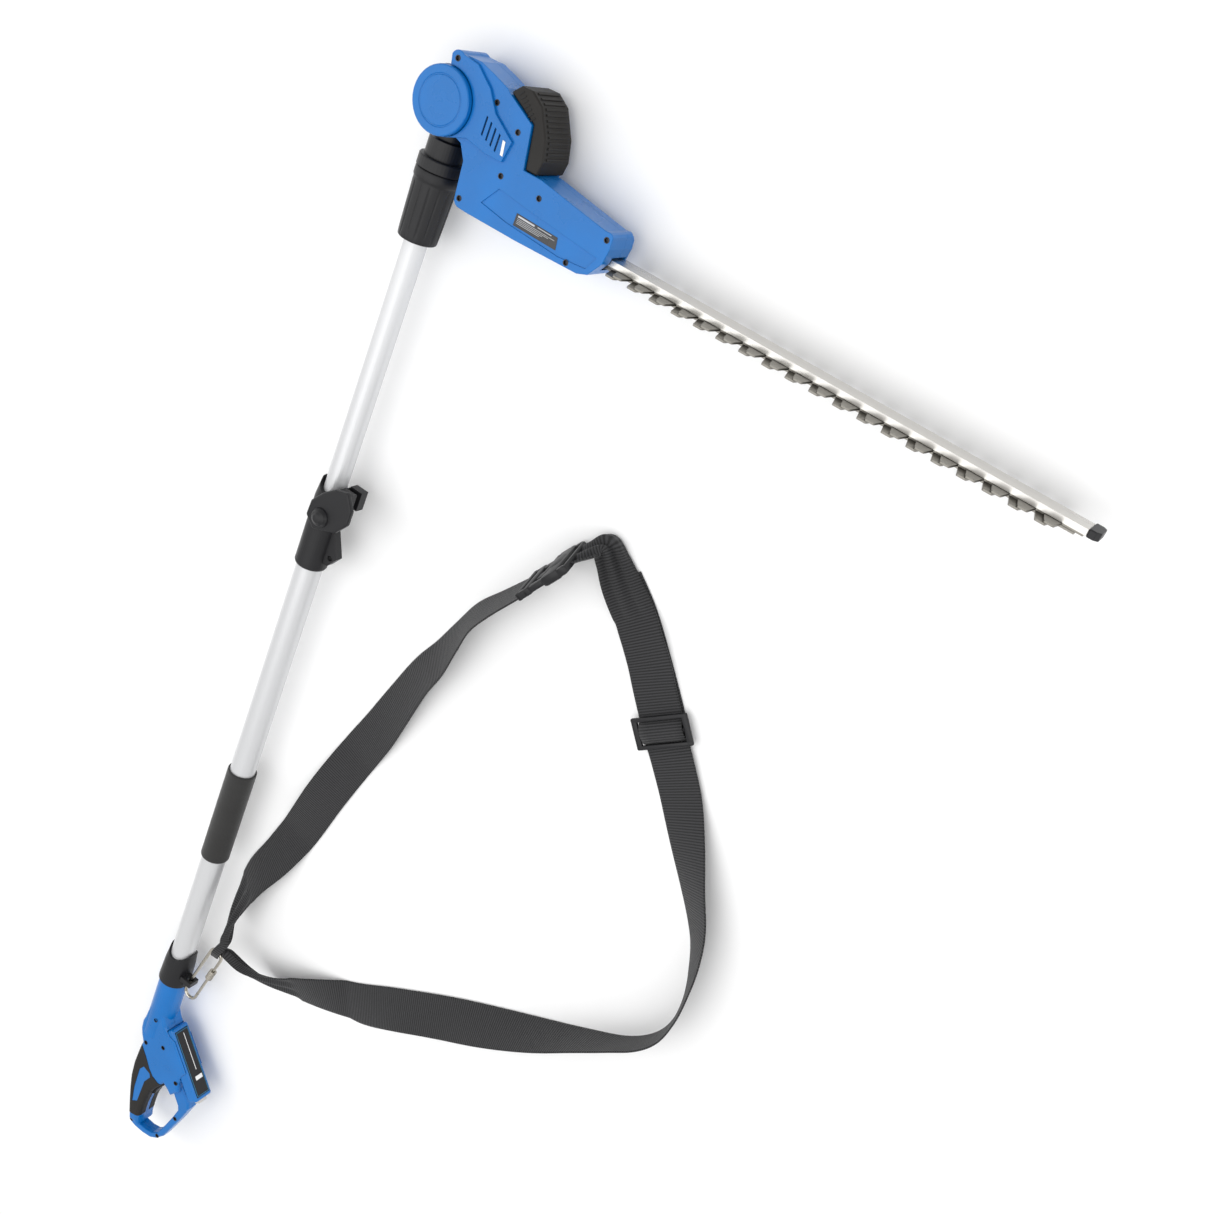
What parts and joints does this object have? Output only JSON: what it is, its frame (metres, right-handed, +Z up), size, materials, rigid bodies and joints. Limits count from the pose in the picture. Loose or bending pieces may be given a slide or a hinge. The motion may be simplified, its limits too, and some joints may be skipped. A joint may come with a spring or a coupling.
{
  "type": "pole hedge trimmer",
  "caption": "Battery pole hedge trimmer: telescopic pole, tilting cutter head with a long two-sided blade, D-shaped rear handle and shoulder strap.",
  "frame": {"origin": "on the head's tilt axis, at the centre of the lower pivot cap's flat outer face, which rests on the floor", "axes": "+Y along the pole from the rear handle towards the head, +X along the cutter as drawn at a right angle to the pole, +Z up from the floor along the tilt axis"},
  "size_m": [0.746, 1.477, 0.075],
  "materials": {
    "blue_plastic": "moulded, semi-gloss",
    "black_plastic": "fine moulded texture",
    "latch_grey": "smooth",
    "soft_black": "soft-touch, matte",
    "cable_sheath": "matte",
    "aluminium_tube": "satin anodised, drawn along its length",
    "bar_aluminium": "polished",
    "blade_steel": "ground, oiled",
    "steel": "zinc plated",
    "webbing": "ribbed polyester webbing",
    "cell_foil": "laminated foil"
  },
  "bodies": {
    "pole": {"lower_tube": "aluminium_tube", "foam_grip": "soft_black", "clamp_sleeve": "black_plastic", "clamp_bolt": "steel", "clamp_nut": "steel", "handle_collar": "black_plastic", "coiled_cord": "cable_sheath", "handle_shell_upper": "blue_plastic", "handle_shell_lower": "blue_plastic", "grip_pad_upper": "soft_black", "grip_pad_lower": "soft_black", "trigger_switch": "black_plastic", "trigger_spring": "steel", "battery_terminals": "black_plastic", "strap_right": "webbing", "strap_tail": "webbing", "buckle_socket": "black_plastic"},
    "extension": {"upper_tube": "aluminium_tube", "tube_end_bush": "black_plastic", "cable_upper": "cable_sheath", "pole_neck": "black_plastic", "pivot_pin": "steel"},
    "lock_sleeve": {"lock_sleeve": "black_plastic"},
    "head": {"head_shell_upper": "blue_plastic", "head_shell_lower": "blue_plastic", "pivot_cap_lower": "blue_plastic", "index_ring": "steel", "motor": "steel", "motor_cover": "soft_black", "gearbox_plate": "bar_aluminium", "gear_bearing": "steel", "guide_bar": "bar_aluminium", "tip_guard": "black_plastic", "blade_bolt_1": "steel", "blade_bolt_2": "steel", "blade_bolt_3": "steel", "button_spring": "steel"},
    "tilt_button": {"tilt_button": "blue_plastic"},
    "pinion": {"motor_pinion": "steel"},
    "drive": {"drive_gear": "steel", "crank": "steel"},
    "upper_blade": {"blade_upper": "blade_steel"},
    "lower_blade": {"blade_lower": "blade_steel"},
    "clamp_lever": {"clamp_lever": "black_plastic"},
    "trigger": {"trigger": "black_plastic"},
    "lock_button": {"lock_button": "black_plastic"},
    "battery": {"battery_case": "blue_plastic", "battery_panel": "black_plastic", "battery_cell_1": "cell_foil", "battery_cell_2": "cell_foil", "battery_cell_3": "cell_foil", "battery_cell_4": "cell_foil", "battery_cell_5": "cell_foil"},
    "battery_latch": {"battery_latch": "latch_grey"},
    "carabiner": {"carabiner_hook": "steel"},
    "carabiner_gate": {"carabiner_gate": "steel"},
    "carabiner_nut": {"carabiner_nut": "steel"},
    "strap_end": {"strap_left": "webbing", "buckle_plug": "black_plastic"},
    "slider": {"strap_slider": "black_plastic"}
  },
  "joints": [
    {"name": "pole_extend", "type": "slide", "parent": "pole", "child": "extension", "axis": [0, 1, 0], "range_m": [-0.22, 0.2]},
    {"name": "lock_sleeve_turn", "type": "hinge", "parent": "extension", "child": "lock_sleeve", "pos_m": [0, -0.09, 0.036], "axis": [0, 1, 0], "range_deg": [-45, 45]},
    {"name": "head_tilt", "type": "hinge", "parent": "extension", "child": "head", "pos_m": [0, 0, 0.036], "axis": [0, 0, 1], "range_deg": [0, 120]},
    {"name": "tilt_button_press", "type": "slide", "parent": "head", "child": "tilt_button", "axis": [0, 0, -1], "range_m": [0, 0.0025], "stiffness_N_per_m": 800, "deforming": ["button_spring"]},
    {"name": "drive_spin", "type": "hinge", "parent": "head", "child": "drive", "pos_m": [0.105, -0.05, 0.036], "axis": [0, 1, 0], "continuous": true},
    {"name": "pinion_spin", "type": "hinge", "parent": "head", "child": "pinion", "pos_m": [0.08, -0.034, 0.036], "axis": [0, 1, 0], "continuous": true},
    {"name": "upper_blade_stroke", "type": "slide", "parent": "head", "child": "upper_blade", "axis": [1, 0, 0], "range_m": [-0.0075, 0.0005]},
    {"name": "lower_blade_stroke", "type": "slide", "parent": "head", "child": "lower_blade", "axis": [1, 0, 0], "range_m": [-0.0005, 0.0075]},
    {"name": "clamp_lever_turn", "type": "hinge", "parent": "pole", "child": "clamp_lever", "pos_m": [0.023, -0.43, 0.061], "axis": [0, 0, 1], "range_deg": [0, 90]},
    {"name": "trigger_press", "type": "slide", "parent": "pole", "child": "trigger", "axis": [-1, 0, 0], "range_m": [0, 0.004], "stiffness_N_per_m": 1200},
    {"name": "lock_button_press", "type": "slide", "parent": "pole", "child": "lock_button", "axis": [1, 0, 0], "range_m": [0, 0.0022], "stiffness_N_per_m": 600},
    {"name": "battery_slide", "type": "slide", "parent": "pole", "child": "battery", "axis": [0.6947, -0.7193, 0], "range_m": [0, 0.06]},
    {"name": "battery_latch_press", "type": "slide", "parent": "battery", "child": "battery_latch", "axis": [-0.6947, 0.7193, 0], "range_m": [0, 0.0015], "stiffness_N_per_m": 600},
    {"name": "carabiner_swing", "type": "hinge", "parent": "pole", "child": "carabiner", "pos_m": [0.0275, -1.146, 0.042], "axis": [0, 0, 1], "range_deg": [0, 6]},
    {"name": "carabiner_gate_open", "type": "hinge", "parent": "carabiner", "child": "carabiner_gate", "pos_m": [0.04428, -1.1534, 0.042], "axis": [0, 0, 1], "range_deg": [0, 10], "stiffness_Nm_per_rad": 0.05},
    {"name": "carabiner_nut_turn", "type": "slide", "parent": "carabiner_gate", "child": "carabiner_nut", "axis": [0.2215, 0.9751, 0], "range_m": [-0.011, 0.011]},
    {"name": "buckle_release", "type": "slide", "parent": "pole", "child": "strap_end", "axis": [-0.5299, -0.848, 0], "range_m": [0, 0.008]},
    {"name": "strap_adjust", "type": "slide", "parent": "pole", "child": "slider", "axis": [0.6428, -0.766, 0], "range_m": [-0.02, 0.02]}
  ],
  "couplings": [
    {"joint": "pinion_spin", "follows": "drive_spin", "ratio": -4.5556},
    {"joint": "lower_blade_stroke", "follows": "upper_blade_stroke", "ratio": -1}
  ]
}
